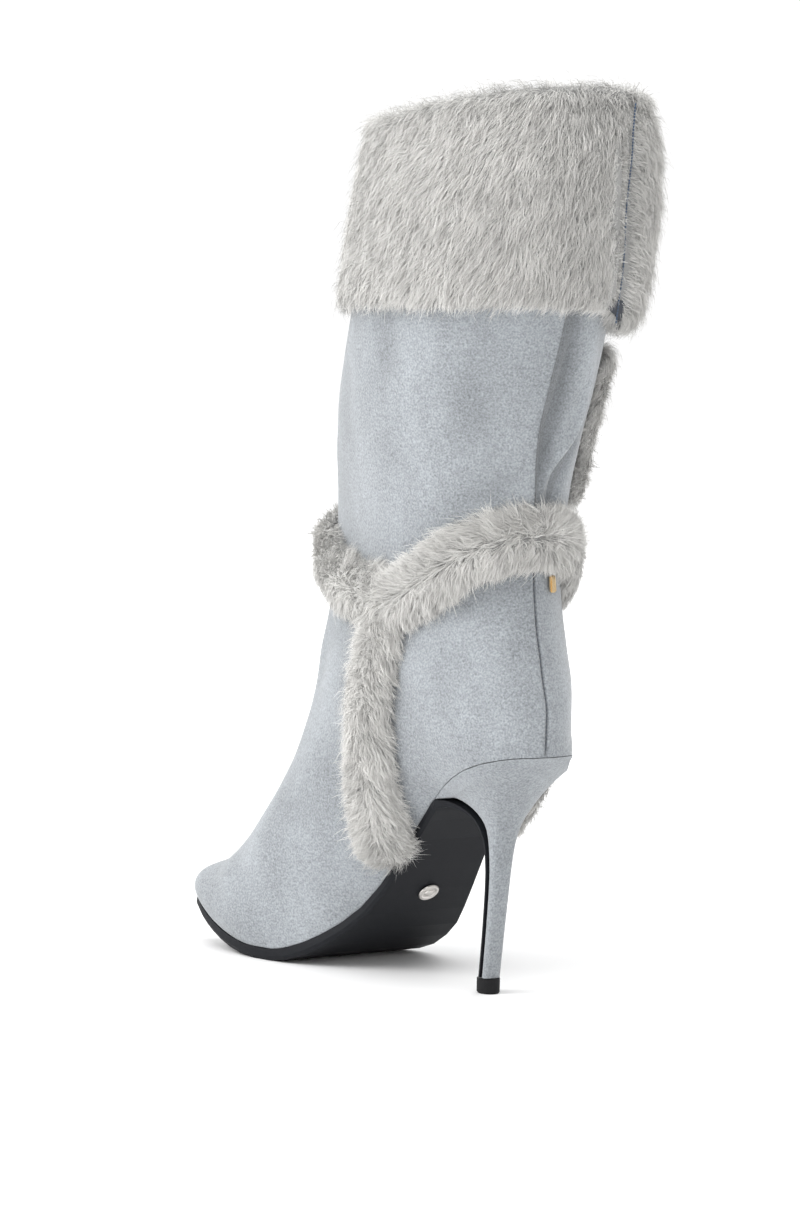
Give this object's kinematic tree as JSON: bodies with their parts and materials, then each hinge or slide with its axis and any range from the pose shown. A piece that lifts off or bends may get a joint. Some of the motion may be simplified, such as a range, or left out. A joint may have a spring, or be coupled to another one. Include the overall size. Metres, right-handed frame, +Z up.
{
  "type": "stiletto ankle-harness boot",
  "caption": "Mid-calf stiletto boot in blue-grey suede with a folded fur cuff, fur harness bands, covered slim heel and a thin black sole.",
  "frame": {"origin": "centre of the heel lift's bottom face, on the floor", "axes": "+Z up, toe towards -Y, inner side of the right foot towards +X"},
  "size_m": [0.1155, 0.2362, 0.3639],
  "materials": {
    "blue_grey_suede": "matt brushed nap",
    "grey_fur": "soft pile",
    "black_sole_rubber": "matt",
    "black_lift_rubber": "matt",
    "grey_insole_board": "board with a plain cloth sock",
    "rivet_steel": "satin",
    "gold_metal": "polished"
  },
  "bodies": {
    "root": {"upper": "blue_grey_suede", "insole": "grey_insole_board", "outsole": "black_sole_rubber", "heel": "blue_grey_suede", "top_lift": "black_lift_rubber", "sole_rivet": "rivet_steel", "fur_cuff": "grey_fur", "band_back": "grey_fur", "band_front": "grey_fur", "medial_strip": "grey_fur", "lateral_strip": "grey_fur", "shaft_strip": "grey_fur", "strap_fitting": "gold_metal"}
  },
  "joints": []
}
